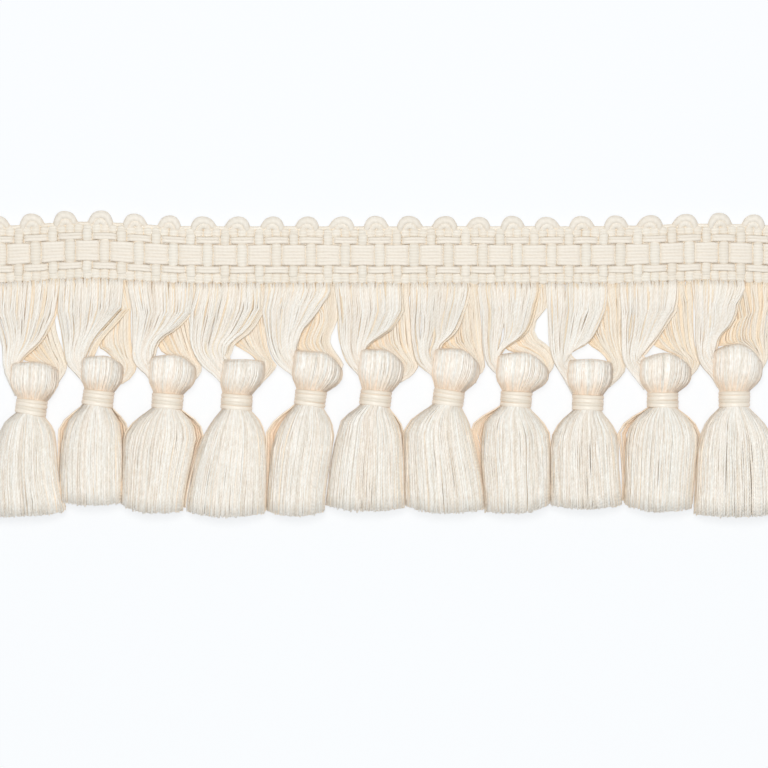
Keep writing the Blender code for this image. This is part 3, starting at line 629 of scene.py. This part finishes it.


# Where each tassel and its yarn lie, from left to right.
# tie: the middle of the tie; tilt: its lean in degrees; head: the head's left and right side
# fold and hem: the head's top and the skirt's foot, at their left, middle and right
# front and rear: the two groups of net yarn that cross above the head, their roots along the heading and
# the lines of their two sides (frontLeft at the heights in outerLevels)
# left and right: the skirt's sides at the heights in skirtLevels
# spare: how far the skirt's rear half shows past each side; warm: the share of yarn there that takes the
# golden painted shade of the under finish
# turn: how far the yarns that turn over stand off the front group's right edge
# slits: partings in the front group, each its share across, its start, its end and its width
skirtLevels = (-40.75, -44.25, -48.75, -56.25, -62.25)
outerLevels = (-13.75, -21.25, -26.75, -30.25)
tassels = [
    {
        "tie": (-88.1, -38.0), "tilt": -8, "head": (-93.0, -81.3), "fold": (-26.8, -26.5, -28.2),
        "frontRoots": (-98.6, -81.5), "frontLeft": (-98.5, -95.5, -95.1, -94.2),
        "frontRight": ((-82.6, -14.5), (-85.2, -20.3), (-88.0, -23.3), (-90.3, -25.4), (-91.9, -28.5)),
        "rearRoots": (-94.0, -81.0),
        "rearLeft": ((-91.5, -23.0), (-90.4, -25.7), (-87.0, -26.9), (-83.0, -28.8)),
        "rearRight": ((-82.4, -15.5), (-81.8, -19.5), (-80.3, -24.0), (-79.2, -28.2), (-81.0, -31.0)),
        "left": (-94.0, -96.0, -97.5, -98.2, -98.2), "right": (-84.3, -82.4, -81.7, -81.1, -79.3),
        "hem": (-65.5, -65.0, -63.8), "spare": (0.1, 0.4), "warm": (0.1, 0.4), "turn": 0.5,
        "slits": ((0.13, 0.0, 0.6, 0.025),),
    },
    {
        "tie": (-71.4, -35.8), "tilt": -8, "head": (-75.3, -65.2), "fold": (-25.4, -25.0, -27.2),
        "frontRoots": (-81.5, -65.5), "frontLeft": (-81.7, -80.1, -79.2, -76.2),
        "frontRight": ((-65.8, -12.7), (-68.0, -15.5), (-72.2, -20.3), (-74.3, -24.1), (-75.3, -27.3)),
        "rearRoots": (-76.5, -62.8),
        "rearLeft": ((-70.0, -19.0), (-71.3, -22.6), (-69.3, -23.9), (-67.3, -26.0), (-65.8, -28.5)),
        "rearRight": ((-63.3, -10.0), (-63.6, -17.8), (-63.4, -22.8), (-62.8, -26.7),
                      (-61.9, -28.6), (-64.8, -31.8)),
        "left": (-78.4, -80.0, -80.8, -81.2, -80.9), "right": (-66.2, -65.5, -65.2, -65.2, -65.3),
        "hem": (-61.3, -62.3, -61.8), "spare": (1.9, 2.1), "warm": (0.5, 0.5), "turn": 1.9, "slits": (),
    },
    {
        "tie": (-54.1, -36.5), "tilt": -5, "head": (-58.4, -47.0), "fold": (-25.4, -24.7, -27.6),
        "frontRoots": (-64.0, -48.0), "frontLeft": (-62.8, -62.8, -62.3, -58.8),
        "frontRight": ((-48.5, -13.9), (-52.0, -17.8), (-56.5, -21.0), (-57.8, -24.8), (-58.7, -27.3)),
        "rearRoots": (-59.4, -46.8),
        "rearLeft": ((-59.0, -19.5), (-56.9, -21.9), (-54.9, -24.6), (-50.0, -25.6), (-47.8, -27.7)),
        "rearRight": ((-49.0, -14.0), (-48.5, -18.5), (-47.3, -23.0), (-46.4, -26.5),
                      (-45.5, -28.7), (-47.2, -31.0)),
        "left": (-61.5, -64.3, -65.3, -65.4, -65.8), "right": (-48.5, -46.6, -47.3, -49.0, -50.0),
        "hem": (-62.0, -64.3, -63.8), "spare": (0.5, 2.2), "warm": (0.25, 0.9), "turn": 0.7, "slits": (),
    },
    {
        "tie": (-36.8, -36.7), "tilt": -3, "head": (-40.2, -29.8), "fold": (-26.0, -25.9, -26.4),
        "frontRoots": (-47.0, -31.0), "frontLeft": (-48.2, -48.5, -46.2, -42.0),
        "frontRight": ((-31.0, -13.0), (-33.8, -18.0), (-38.0, -21.4), (-39.1, -23.2), (-39.8, -25.8)),
        "rearRoots": (-42.0, -29.0),
        "rearLeft": ((-40.0, -19.5), (-37.5, -22.0), (-35.1, -23.6), (-32.5, -25.2), (-30.8, -27.5)),
        "rearRight": ((-30.0, -12.0), (-29.8, -19.3), (-28.8, -24.1), (-27.6, -27.0),
                      (-27.0, -28.0), (-29.7, -31.0)),
        "left": (-42.5, -44.6, -46.4, -48.4, -49.4), "right": (-31.5, -29.9, -29.3, -29.2, -29.5),
        "hem": (-63.8, -65.3, -64.3), "spare": (0.1, 0.5), "warm": (0.2, 0.3), "turn": 1.2,
        "slits": ((0.3, 0.2, 0.8, 0.02),),
    },
    {
        "tie": (-18.4, -35.8), "tilt": -7, "head": (-22.4, -10.4), "fold": (-23.5, -24.0, -27.9),
        "frontRoots": (-29.6, -13.5), "frontLeft": (-30.4, -29.2, -26.9, -22.6),
        "frontRight": ((-15.2, -11.5), (-18.2, -15.8), (-20.8, -19.0), (-21.9, -22.5), (-22.3, -25.5)),
        "rearRoots": (-24.6, -11.6),
        "rearLeft": ((-20.0, -17.0), (-21.4, -20.0), (-21.8, -23.0), (-19.0, -25.0), (-14.5, -26.5)),
        "rearRight": ((-12.0, -12.0), (-11.7, -16.8), (-13.6, -20.2), (-13.2, -22.8),
                      (-11.6, -25.2), (-10.2, -27.3), (-11.4, -30.0)),
        "left": (-24.9, -26.8, -28.2, -28.9, -29.4), "right": (-13.5, -12.6, -12.8, -14.2, -14.8),
        "hem": (-63.8, -65.0, -63.8), "spare": (3.0, 0.3), "warm": (0.9, 0.3), "turn": 0.3,
        "slits": ((0.35, 0.1, 0.7, 0.03),),
    },
    {
        "tie": (-2.1, -35.8), "tilt": -7, "head": (-6.0, 4.8), "fold": (-23.4, -23.4, -26.6),
        "frontRoots": (-12.2, 4.2), "frontLeft": (-11.6, -11.2, -9.2, -6.0),
        "frontRight": ((4.4, -13.5), (2.2, -17.6), (-1.0, -20.0), (-3.9, -21.8), (-5.2, -24.1)),
        "rearRoots": (-7.0, 6.4),
        "rearLeft": ((-3.5, -20.5), (-4.8, -22.8), (-1.5, -24.3), (2.5, -26.0), (4.5, -28.5)),
        "rearRight": ((6.2, -10.0), (6.9, -19.3), (7.3, -24.1), (8.5, -28.2), (5.4, -31.0)),
        "left": (-10.3, -11.5, -12.7, -14.0, -14.6), "right": (3.0, 4.3, 4.8, 5.1, 5.3),
        "hem": (-62.3, -63.8, -63.0), "spare": (0.1, 0.9), "warm": (0.2, 0.75), "turn": 0.4, "slits": (),
    },
    {
        "tie": (16.1, -35.7), "tilt": -8, "head": (12.5, 23.8), "fold": (-23.2, -23.2, -26.8),
        "frontRoots": (6.6, 21.0), "frontLeft": (6.7, 6.9, 8.2, 12.2),
        "frontRight": ((20.0, -12.5), (18.8, -15.7), (17.0, -19.3), (14.0, -22.0), (13.0, -24.8)),
        "rearRoots": (10.5, 24.0),
        "rearLeft": ((15.0, -20.5), (14.2, -22.8), (17.0, -23.9), (21.0, -25.8), (23.0, -28.2)),
        "rearRight": ((23.6, -10.0), (24.3, -17.8), (24.5, -23.0), (25.1, -28.2), (23.0, -30.3)),
        "left": (7.3, 5.0, 4.9, 5.0, 5.2), "right": (20.8, 21.9, 22.9, 24.5, 25.3),
        "hem": (-62.5, -64.3, -63.3), "spare": (0.4, 0.2), "warm": (0.45, 0.6), "turn": 0.6,
        "slits": ((0.2, 0.0, 0.4, 0.04), (0.5, 0.3, 0.85, 0.09)),
    },
    {
        "tie": (33.0, -36.0), "tilt": -5, "head": (28.3, 41.0), "fold": (-24.8, -24.1, -27.9),
        "frontRoots": (23.6, 38.6), "frontLeft": (24.5, 24.7, 25.6, 28.8),
        "frontRight": ((37.8, -12.0), (36.3, -17.3), (33.9, -20.4), (29.9, -22.9), (28.7, -25.4)),
        "rearRoots": (28.0, 41.1),
        "rearLeft": ((31.0, -21.5), (30.3, -23.3), (34.5, -24.7), (38.0, -26.0), (40.5, -28.5)),
        "rearRight": ((40.9, -12.4), (36.9, -18.6), (39.8, -22.0), (41.7, -24.3), (42.4, -27.5),
                      (40.1, -30.8)),
        "left": (25.5, 24.5, 24.0, 24.6, 25.0), "right": (38.9, 41.0, 41.5, 41.5, 41.4),
        "hem": (-64.0, -64.3, -62.0), "spare": (3.5, 0.4), "warm": (0.9, 0.25), "turn": 0.5,
        "slits": ((0.45, 0.2, 0.66, 0.08),),
    },
    {
        "tie": (50.9, -36.9), "tilt": -2, "head": (46.0, 57.0), "fold": (-26.2, -25.8, -26.7),
        "frontRoots": (40.8, 55.6), "frontLeft": (41.0, 41.3, 42.4, 44.8),
        "frontRight": ((55.3, -13.0), (52.6, -19.0), (50.2, -22.0), (47.6, -23.4), (46.0, -24.6)),
        "rearRoots": (46.0, 59.6),
        "rearLeft": ((49.5, -19.5), (51.3, -22.0), (54.3, -24.1), (56.0, -26.2), (57.0, -28.5)),
        "rearRight": ((59.4, -10.0), (59.3, -16.0), (59.2, -21.5), (59.6, -25.0), (60.2, -28.4),
                      (57.8, -31.5)),
        "left": (44.8, 42.2, 41.5, 41.4, 41.5), "right": (55.6, 58.1, 58.5, 59.0, 59.5),
        "hem": (-62.3, -63.3, -62.3), "spare": (0.3, 0.6), "warm": (0.25, 0.5), "turn": 0.5,
        "slits": ((0.72, 0.0, 0.3, 0.02),),
    },
    {
        "tie": (69.6, -36.3), "tilt": 0, "head": (63.9, 76.6), "fold": (-26.1, -24.3, -27.6),
        "frontRoots": (59.2, 73.2), "frontLeft": (59.6, 59.5, 59.9, 62.6),
        "frontRight": ((72.4, -13.5), (69.9, -17.1), (67.1, -21.3), (65.2, -23.6), (63.9, -25.4)),
        "rearRoots": (63.4, 77.4),
        "rearLeft": ((66.0, -19.5), (67.4, -22.0), (70.3, -23.8), (73.3, -24.9), (75.8, -27.8)),
        "rearRight": ((77.4, -10.0), (77.4, -17.8), (77.9, -24.1), (79.0, -27.3), (76.7, -30.0)),
        "left": (62.5, 60.8, 60.2, 60.0, 59.8), "right": (76.3, 78.2, 78.2, 77.4, 77.0),
        "hem": (-62.0, -64.0, -63.0), "spare": (2.7, 1.0), "warm": (0.8, 0.7), "turn": 0.8,
        "slits": ((0.17, 0.0, 0.5, 0.03),),
    },
    {
        "tie": (87.5, -36.0), "tilt": 0, "head": (82.4, 94.4), "fold": (-23.6, -22.0, -26.3),
        "frontRoots": (77.4, 90.0), "frontLeft": (77.8, 77.9, 78.7, 81.8),
        "frontRight": ((88.0, -12.0), (86.8, -16.5), (83.6, -20.0), (82.7, -22.5), (82.3, -25.0)),
        "rearRoots": (82.4, 98.4),
        "rearLeft": ((84.6, -17.5), (82.6, -20.6), (82.9, -22.6), (87.0, -22.4),
                     (91.8, -24.6), (94.0, -27.0)),
        "rearRight": ((98.0, -11.0), (97.4, -16.5), (96.6, -21.5), (95.9, -25.8), (94.0, -29.0)),
        "left": (80.8, 79.2, 78.1, 77.7, 77.2), "right": (94.0, 96.5, 97.5, 98.5, 98.8),
        "hem": (-64.5, -65.3, -64.3), "spare": (0.1, 0.1), "warm": (0.25, 0.2), "turn": 0.5,
        "slits": ((0.13, 0.1, 0.5, 0.035),),
    },
]


# Net

netSettings = {
    "rootY": -6.9, "straight": -9.6, "radius": 0.28, "flat": 0.6, "steps": 14, "spots": 7,
    "layer": 0.13, "layers": (-1.0, 0.1, 0.9, -0.4, 0.5), "tintedDrop": 0.15, "waver": 0.08,
    "rootPull": 0.22, "endInset": 0.3, "locks": 8, "gather": 0.28, "slitReach": 0.15,
    # heights run from the heading to the yarns' ends; tinted is the share of yarn, left and right, that
    # lies lower and takes the golden painted shade of the under finish
    "front": {"yarns": 84, "heights": (1.95, 2.0, 2.7, 3.9, 4.6, 4.7, 4.4, 4.0), "tinted": (0.2, 0.2)},
    "rear": {"yarns": 66, "heights": (1.55, 1.6, 1.8, 2.2, 2.7, 3.1, 3.5, 3.7), "tinted": (1.0, 0.1)},
    "turn": {"yarns": 8, "heights": (1.6, 1.7, 2.1, 2.9, 3.3, 3.6, 3.8, 3.8), "tinted": (0.5, 0.5)},
}


# yarns of one group, spread from its left side to its right one, then in to their ends in the head
def groupPaths(seed, settings, roots, leftSide, rightSide, ends, slits=()):
    chance = random.Random(seed)
    spots, layers = netSettings["spots"], netSettings["layers"]
    left, right = smoothed(leftSide, spots), smoothed(rightSide, spots)
    count, heights = settings["yarns"], settings["heights"]
    rootEnd = heading["length"] / 2 - netSettings["endInset"]
    plain, tinted = [], []
    for number in range(count):
        share = min(1.0, max(0.0, (number + 0.5 + chance.uniform(-1.2, 1.2)) / count))
        isTinted = chance.random() < blend(*settings["tinted"], share)
        layer = (layers[number % len(layers)] + chance.uniform(-0.25, 0.25)) * netSettings["layer"]
        layer -= netSettings["tintedDrop"] if isTinted else 0.0
        rootX = blend(*roots, (number + 0.5) / count) + chance.uniform(-0.15, 0.15)
        rootX = min(rootEnd, max(-rootEnd, rootX))
        index = math.floor((rootX + heading["length"] / 2) / ribPitch)
        up = bowed(rootX)
        stops = [
            (blend(rootX, ribX(index), netSettings["rootPull"]),
             netSettings["rootY"] + up + chance.uniform(-0.4, 0.3),
             heights[0] - chance.uniform(-0.05, 0.15)),
            (rootX + chance.uniform(-0.1, 0.1), netSettings["straight"] + up, heights[1] + layer * 0.6),
        ]
        wave, bend, swing = chance.uniform(0, math.tau), chance.uniform(1.0, 2.2), netSettings["waver"]
        swing *= chance.uniform(0.3, 1.6)
        lock = (math.floor(share * netSettings["locks"]) + 0.5) / netSettings["locks"]
        for step in range(spots + 1):
            along = step / spots
            drift = math.sin(wave + step * bend) * swing
            lay = share
            if not isTinted:
                lay = blend(share, lock, netSettings["gather"] * math.sin(along * math.pi) ** 0.6)
            for place, first, last, width in slits:
                if first < along < last and not isTinted:
                    push = width * math.sin((along - first) / (last - first) * math.pi)
                    fade = math.exp(-abs(share - place) / netSettings["slitReach"])
                    lay += math.copysign(push, share - place) * fade
            x = blend(left[step][0], right[step][0], lay) + drift
            y = blend(left[step][1], right[step][1], lay) + drift * 0.3
            place = 1.5 + along * (len(heights) - 2.5)
            z = readAt(list(enumerate(heights)), place) + layer * 0.9
            stops.append((x, y, z + math.cos(wave + step * bend) * swing * 0.5))
        x, y = (blend(a, b, share) for a, b in zip(*ends))
        x += chance.uniform(-0.6, 0.6)
        y += chance.uniform(-0.5, 0.5)
        stops.append((x, y, heights[-1] + layer * 0.5))
        # the tinted yarn takes the under finish, which is painted shade
        pile = tinted if isTinted else plain
        pile.append(smoothed(stops, netSettings["steps"]))
    return plain, tinted


def netPaths():
    front, rear, tinted = [], [], []
    for number, tassel in enumerate(tassels):
        left, right = tassel["head"]
        foldY, tieY = tassel["fold"][1], tassel["tie"][1]
        frontLeft = list(zip(tassel["frontLeft"], outerLevels))
        ends = ((left + 1.6, tieY + 2.4), (blend(left, right, 0.5), blend(foldY, tieY, 0.35)))
        plain, low = groupPaths(100 + number, netSettings["front"], tassel["frontRoots"], frontLeft,
                                tassel["frontRight"], ends, tassel["slits"])
        front += plain
        tinted += low
        ends = ((blend(left, right, 0.6), blend(foldY, tieY, 0.4)), (right - 1.6, tieY + 4.0))
        plain, low = groupPaths(300 + number, netSettings["rear"], tassel["rearRoots"], tassel["rearLeft"],
                                tassel["rearRight"], ends)
        rear += plain
        tinted += low
        # a few yarns that turn over along the front group's right edge
        edge = [(x - 0.4, y) for x, y in tassel["frontRight"]]
        outer = [(x + tassel["turn"], y - tassel["turn"] * 0.25) for x, y in tassel["frontRight"]]
        roots = (tassel["frontRoots"][1] - 1.5, tassel["frontRoots"][1] + 0.3)
        ends = ((left + 2.0, foldY - 3.0), (left + 3.0, foldY - 3.0))
        plain, low = groupPaths(500 + number, netSettings["turn"], roots, edge, outer, ends)
        rear += plain
        tinted += low
    return front, tinted, rear


# Tassels

bundle = {"tieHalf": 1.9, "neckHalf": 3.75, "neckDepth": 3.25, "neckZ": 3.9}
headSettings = {
    "strands": 110, "radius": 0.24, "flat": 0.5, "halfDepth": 4.1, "middleZ": 4.35, "steps": 10,
    # share of the way up from the tie, share of the full half width, share of the half depth
    "sections": ((-0.12, 0.0, 0.0), (0.0, 0.02, 0.05), (0.14, 0.36, 0.45), (0.30, 0.78, 0.85),
                 (0.50, 1.0, 1.0), (0.74, 1.0, 0.94), (0.92, 0.96, 0.66)),
}


# a point of the neck's middle line, along being its distance above the tie's middle
def neckAt(tassel, along):
    lean = math.radians(tassel["tilt"])
    x, y = tassel["tie"]
    return x - along * math.sin(lean), y + along * math.cos(lean)


def headPaths(tassel, seed):
    chance = random.Random(seed)
    neckX, neckY = neckAt(tassel, bundle["tieHalf"])
    lean = math.tan(math.radians(tassel["tilt"]))
    left, right = tassel["head"]
    halfWidth, middleX = (right - left) / 2 - 0.15, (left + right) / 2
    foldLeft, foldMiddle, foldRight = tassel["fold"]
    count = headSettings["strands"]
    paths = []
    for number in range(count):
        spot = (number + 0.5 + chance.uniform(-0.6, 0.6)) / count * 2 - 1
        across = math.sin(spot * math.pi / 2) * 0.6 + spot * 0.4
        across = max(-1.0, min(1.0, across))
        end = foldRight if across > 0 else foldLeft
        top = foldMiddle + (end - foldMiddle) * across**2 - 0.25
        crown = math.sqrt(1 - across * across)
        ply = 1 - 0.018 * (number % 3) - chance.uniform(0, 0.02)
        swirl = chance.uniform(-0.15, 0.15)
        front, back = [], []
        for up, wide, deep in headSettings["sections"]:
            x = blend(neckX, middleX, min(1.0, max(0.0, up) * 1.6))
            x += across * blend(bundle["neckHalf"] - 0.3, halfWidth, wide)
            y = blend(neckY + across * lean * 3.6, top, up)
            depth = blend(bundle["neckDepth"] - 0.2, headSettings["halfDepth"], deep) * ply
            z = blend(bundle["neckZ"], headSettings["middleZ"], min(1.0, max(0.0, up * 2)))
            drift = math.sin(max(0.0, up) * math.pi) * swirl
            front.append((x + drift, y, z + depth * crown))
            back.append((x - drift, y, max(0.3, z - depth * crown)))
        peak = (middleX + across * halfWidth * 0.93, top + 0.02, headSettings["middleZ"])
        line = smoothed([*front, peak], headSettings["steps"])
        paths.append(line + smoothed([peak, back[6], back[4], back[2], back[1]], 4)[1:])
    return paths


tieSettings = {
    "turns": 4, "half": 0.60, "flat": 0.55, "width": 3.68, "depth": 3.3, "pitch": 0.93, "corners": 32,
}


def tiePaths(tassel, seed):
    chance = random.Random(seed)
    paths = []
    for turn in range(tieSettings["turns"]):
        along = (1.5 - turn) * tieSettings["pitch"] + chance.uniform(-0.08, 0.08)
        x, y = neckAt(tassel, along)
        lean = math.radians(tassel["tilt"] + chance.uniform(-2.2, 2.2))
        dive = chance.uniform(-0.06, 0.06)
        grow = 1.0 + chance.uniform(-0.012, 0.012)
        path = []
        for corner in range(tieSettings["corners"]):
            angle = corner * math.tau / tieSettings["corners"]
            across = tieSettings["width"] * grow * math.cos(angle)
            z = bundle["neckZ"] + tieSettings["depth"] * grow * math.sin(angle)
            dip = dive * math.sin(angle)
            path.append((x + across * math.cos(lean), y + across * math.sin(lean) + dip, z))
        paths.append(path)
    return paths


skirtSettings = {
    "front": 170, "rear": 78, "radius": 0.22, "flat": 0.55, "depth": 4.15, "hemDepth": 3.9,
    "curl": 0.14, "uneven": 0.18, "steps": 10, "locks": 9, "gather": 0.04,
    "drops": (0.0, 0.04, 0.10, 0.18, 0.30, 0.46, 0.64, 0.82, 1.0),
    # how much of its spare width the rear half shows at each distance below the tie
    "spareShape": ((0, 0), (6, 1.0), (8, 0.9), (12, 0.45), (18, 0.3), (27, 0.2)),
}


# the outline of a skirt from inside the tie to below the hem, as stops of (distance down, x)
def skirtSides(tassel):
    sides = []
    for side, xs in ((-1, tassel["left"]), (1, tassel["right"])):
        stops = []
        for along in (-bundle["tieHalf"] + 0.8, -bundle["tieHalf"], -bundle["tieHalf"] - 0.5):
            x, y = neckAt(tassel, along)
            y += side * bundle["neckHalf"] * math.sin(math.radians(tassel["tilt"]))
            half = bundle["neckHalf"] - 0.15
            stops.append((-y, x + side * half))
        stops += [(-level, x) for level, x in zip(skirtLevels, xs)]
        stops.append((75.0, xs[-1]))
        sides.append(stops)
    return sides


def skirtPaths(tassel, seed):
    chance = random.Random(seed)
    sides = skirtSides(tassel)
    rootX, rootY = neckAt(tassel, -bundle["tieHalf"] + 0.8)
    lean = math.tan(math.radians(tassel["tilt"]))
    locks = skirtSettings["locks"]
    over, under = [], []
    for isFront, count in ((False, skirtSettings["rear"]), (True, skirtSettings["front"])):
        for number in range(count):
            spot = (number + 0.5 + chance.uniform(-1.5, 1.5)) / count * 2 - 1
            spot = max(-1.0, min(1.0, spot))
            across = math.sin(spot * math.pi / 2) * 0.45 + spot * 0.55
            lock = (math.floor((across + 1) / 2 * locks) + 0.5) / locks * 2 - 1
            warm = tassel["warm"][0 if across < 0 else 1] * abs(across) ** 3
            # every seventh front strand, the rear half and the warm share at the sides go under, in the
            # painted shade of the under finish
            isLow = number % 7 == 0 or not isFront or chance.random() < warm
            ply = chance.uniform(0.965, 1.0) - 0.02 * (number % 2) if isFront else chance.uniform(0.6, 1.0)
            ply -= 0.04 if isFront and isLow else 0.0
            deep = math.sqrt(max(0.0, 1 - across * across)) * ply * (1 if isFront else -1)
            hemLeft, hemMiddle, hemRight = tassel["hem"]
            hem = hemMiddle + ((hemRight if across > 0 else hemLeft) - hemMiddle) * across**2
            hem += chance.gauss(0, 1) * skirtSettings["uneven"] + (0 if isFront else 0.8)
            wave, bend = chance.uniform(0, math.tau), chance.uniform(0.8, 2.0)
            swing = chance.uniform(0.3, 1.0) * skirtSettings["curl"]
            stops = []
            for drop in skirtSettings["drops"]:
                y = blend(rootY + across * lean * 3.6, hem, drop)
                edges = [readAt(line, -y) for line in sides]
                if not isFront:
                    spare = readAt(skirtSettings["spareShape"], max(0.0, rootY - y))
                    edges = [edge + side * extra * spare
                             for edge, side, extra in zip(edges, (-1, 1), tassel["spare"])]
                lay = blend(across, lock, skirtSettings["gather"] * drop)
                inset = skirtSettings["radius"]
                x = blend(edges[0] + inset, edges[1] - inset, (lay + 1) / 2)
                opened = min(1.0, drop * 4.0)
                depth = blend(bundle["neckDepth"], skirtSettings["depth"], opened)
                depth = blend(depth, skirtSettings["hemDepth"], max(0.0, drop - 0.5) * 2)
                z = blend(bundle["neckZ"], skirtSettings["depth"] + 0.25, opened) + deep * depth
                drift = math.sin(wave + drop * 8 * bend) * swing * opened
                z += math.cos(wave + drop * 8 * bend) * swing * 0.4 * opened
                stops.append((x + drift, y, max(skirtSettings["radius"] + 0.02, z)))
            pile = under if isLow else over
            pile.append(smoothed(stops, skirtSettings["steps"]))
    return over, under


fillSettings = {"strands": 130, "radius": 0.46, "flat": 0.9, "rise": 8.0, "middle": 4.3, "depth": 3.75}


# the short cut ends that fill the open foot of a skirt
def fillPaths(tassel, seed):
    chance = random.Random(seed)
    sides = skirtSides(tassel)
    hemLeft, hemMiddle, hemRight = tassel["hem"]
    paths = []
    for number in range(fillSettings["strands"]):
        angle = number * math.pi * (3 - math.sqrt(5))
        reach = math.sqrt((number + 0.5) / fillSettings["strands"]) * 0.93
        across = reach * math.cos(angle)
        foot = hemMiddle + ((hemRight if across > 0 else hemLeft) - hemMiddle) * across**2
        foot += 0.35 + chance.uniform(-0.25, 0.35)
        stops = []
        for rise in (0.0, 3.0, fillSettings["rise"]):
            y = foot + rise
            left, right = (readAt(line, -y) for line in sides)
            x = blend(left, right, (across + 1) / 2) + chance.uniform(-0.12, 0.12)
            z = fillSettings["middle"] + reach * math.sin(angle) * fillSettings["depth"]
            stops.append((x, y, max(0.3, z)))
        paths.append(stops)
    return paths


coreSettings = {
    "segments": 20, "rings": 18, "middle": 4.1, "neckDepth": 2.6, "depth": 3.3,
    "headInset": 0.75, "skirtInset": 0.8, "topInset": 1.5, "footInset": 1.4,
}


# the imported yarn inside a tassel, which shows only between strands, in the painted shade of the under
# finish
def makeCore(tassel, number):
    bm = bmesh.new()
    segments, rings = coreSettings["segments"], coreSettings["rings"]
    bmesh.ops.create_uvsphere(bm, u_segments=segments, v_segments=rings, radius=1.0)
    left, right = tassel["head"]
    top, foot = tassel["fold"][1] - coreSettings["topInset"], tassel["hem"][1] + coreSettings["footInset"]
    sides = skirtSides(tassel)
    tieX, tieY = tassel["tie"]
    depths = (coreSettings["neckDepth"], coreSettings["depth"])
    for vert in bm.verts:
        share = math.acos(max(-1.0, min(1.0, vert.co.z))) / math.pi
        reach = math.hypot(vert.co.x, vert.co.y)
        spanX, spanZ = (vert.co.x / reach, vert.co.y / reach) if reach > 0.001 else (0.0, 0.0)
        y = blend(top, foot, share)
        if y > tieY:
            up = min(1.0, max(0.0, (y - tieY - 2.0) / 4.5))
            middleX = blend(tieX, (left + right) / 2, up)
            halfWidth = blend(bundle["neckHalf"], (right - left) / 2, up) - coreSettings["headInset"]
            halfDepth = blend(*depths, up)
        else:
            edges = [readAt(line, -y) for line in sides]
            middleX = sum(edges) / 2
            halfWidth = (edges[1] - edges[0]) / 2 - coreSettings["skirtInset"]
            halfDepth = blend(*depths, min(1.0, (tieY - y) / 8.0))
        cap = min(1.0, 0.4 + share * rings * 0.45) * min(1.0, 0.4 + (1 - share) * rings * 0.45)
        z = coreSettings["middle"] + spanZ * halfDepth * cap
        vert.co = Vector((middleX + spanX * halfWidth * cap, y, z)) * mm
    bmesh.ops.recalc_face_normals(bm, faces=bm.faces[:])
    name = f"tasselCore_{number:02d}"
    mesh = bpy.data.meshes.new(name)
    bm.to_mesh(mesh)
    bm.free()
    mesh.uv_layers.new(name="UVMap")
    addPiece(name, mesh, "tassel_under_shaded", f"tassel_{number:02d}")


addCamera()
addWorld()
addLight("key", lightSettings["key"])
addLight("fill", lightSettings["fill"])
addFloor()
bpy.context.scene.view_settings.view_transform = "Standard"
bpy.context.scene.cycles.diffuse_bounces = 12
print("camera, floor and light ready")

ground = makeHeadingGround()
for name, paths, radius, finish, flat, corners in (
    ("headingRibs", ribPaths(), heading["ribRadius"], "heading_weave", heading["ribFlat"], 8),
    ("edgeLoops", loopPaths(), loopSettings["radius"], "heading_loop", 1.0, 10),
    ("edgeCord", [edgeCordPath()], edgeSettings["radius"], "heading_weave", 1.0, 6),
    *((f"{label}Band", bandPaths(bandSettings[label]), bandSettings[label]["half"], "heading_band",
       bandSettings["flat"], 6) for label in ("wide", "upper", "lower")),
):
    makeStrands(name, paths, radius, finish, "heading", flat, corners)
print("heading woven")

# the under and rear yarns take darker, golden finishes that are painted shade
netParts = (("netFront", "net_front"), ("netUnder", "net_under_shaded"), ("netRear", "net_rear_shaded"))
for (name, finish), paths in zip(netParts, netPaths()):
    makeStrands(name, paths, netSettings["radius"], finish, "fringe_net",
                flat=netSettings["flat"])
print("net laid")

for number, tassel in enumerate(tassels, start=1):
    makeCore(tassel, number)
    over, under = skirtPaths(tassel, 60 + number)
    for name, finish, paths, settings in (
        ("tasselHead", "tassel_head", headPaths(tassel, 40 + number), headSettings),
        ("tasselSkirt", "tassel_skirt", over, skirtSettings),
        ("tasselUnder", "tassel_under_shaded", under, skirtSettings),
        ("tasselFill", "tassel_skirt", fillPaths(tassel, 80 + number), fillSettings),
    ):
        makeStrands(f"{name}_{number:02d}", paths, settings["radius"], finish,
                    f"tassel_{number:02d}", flat=settings["flat"], corners=5)
    makeStrands(f"tieWinding_{number:02d}", tiePaths(tassel, number), tieSettings["half"], "tie_winding",
                f"tie_{number:02d}", flat=tieSettings["flat"], corners=8, closed=True)
print("tassels tied")

meshes = [item.data for item in bpy.data.objects if item.type == "MESH"]
print("triangles in all:", sum(len(face.vertices) - 2 for mesh in meshes for face in mesh.polygons))
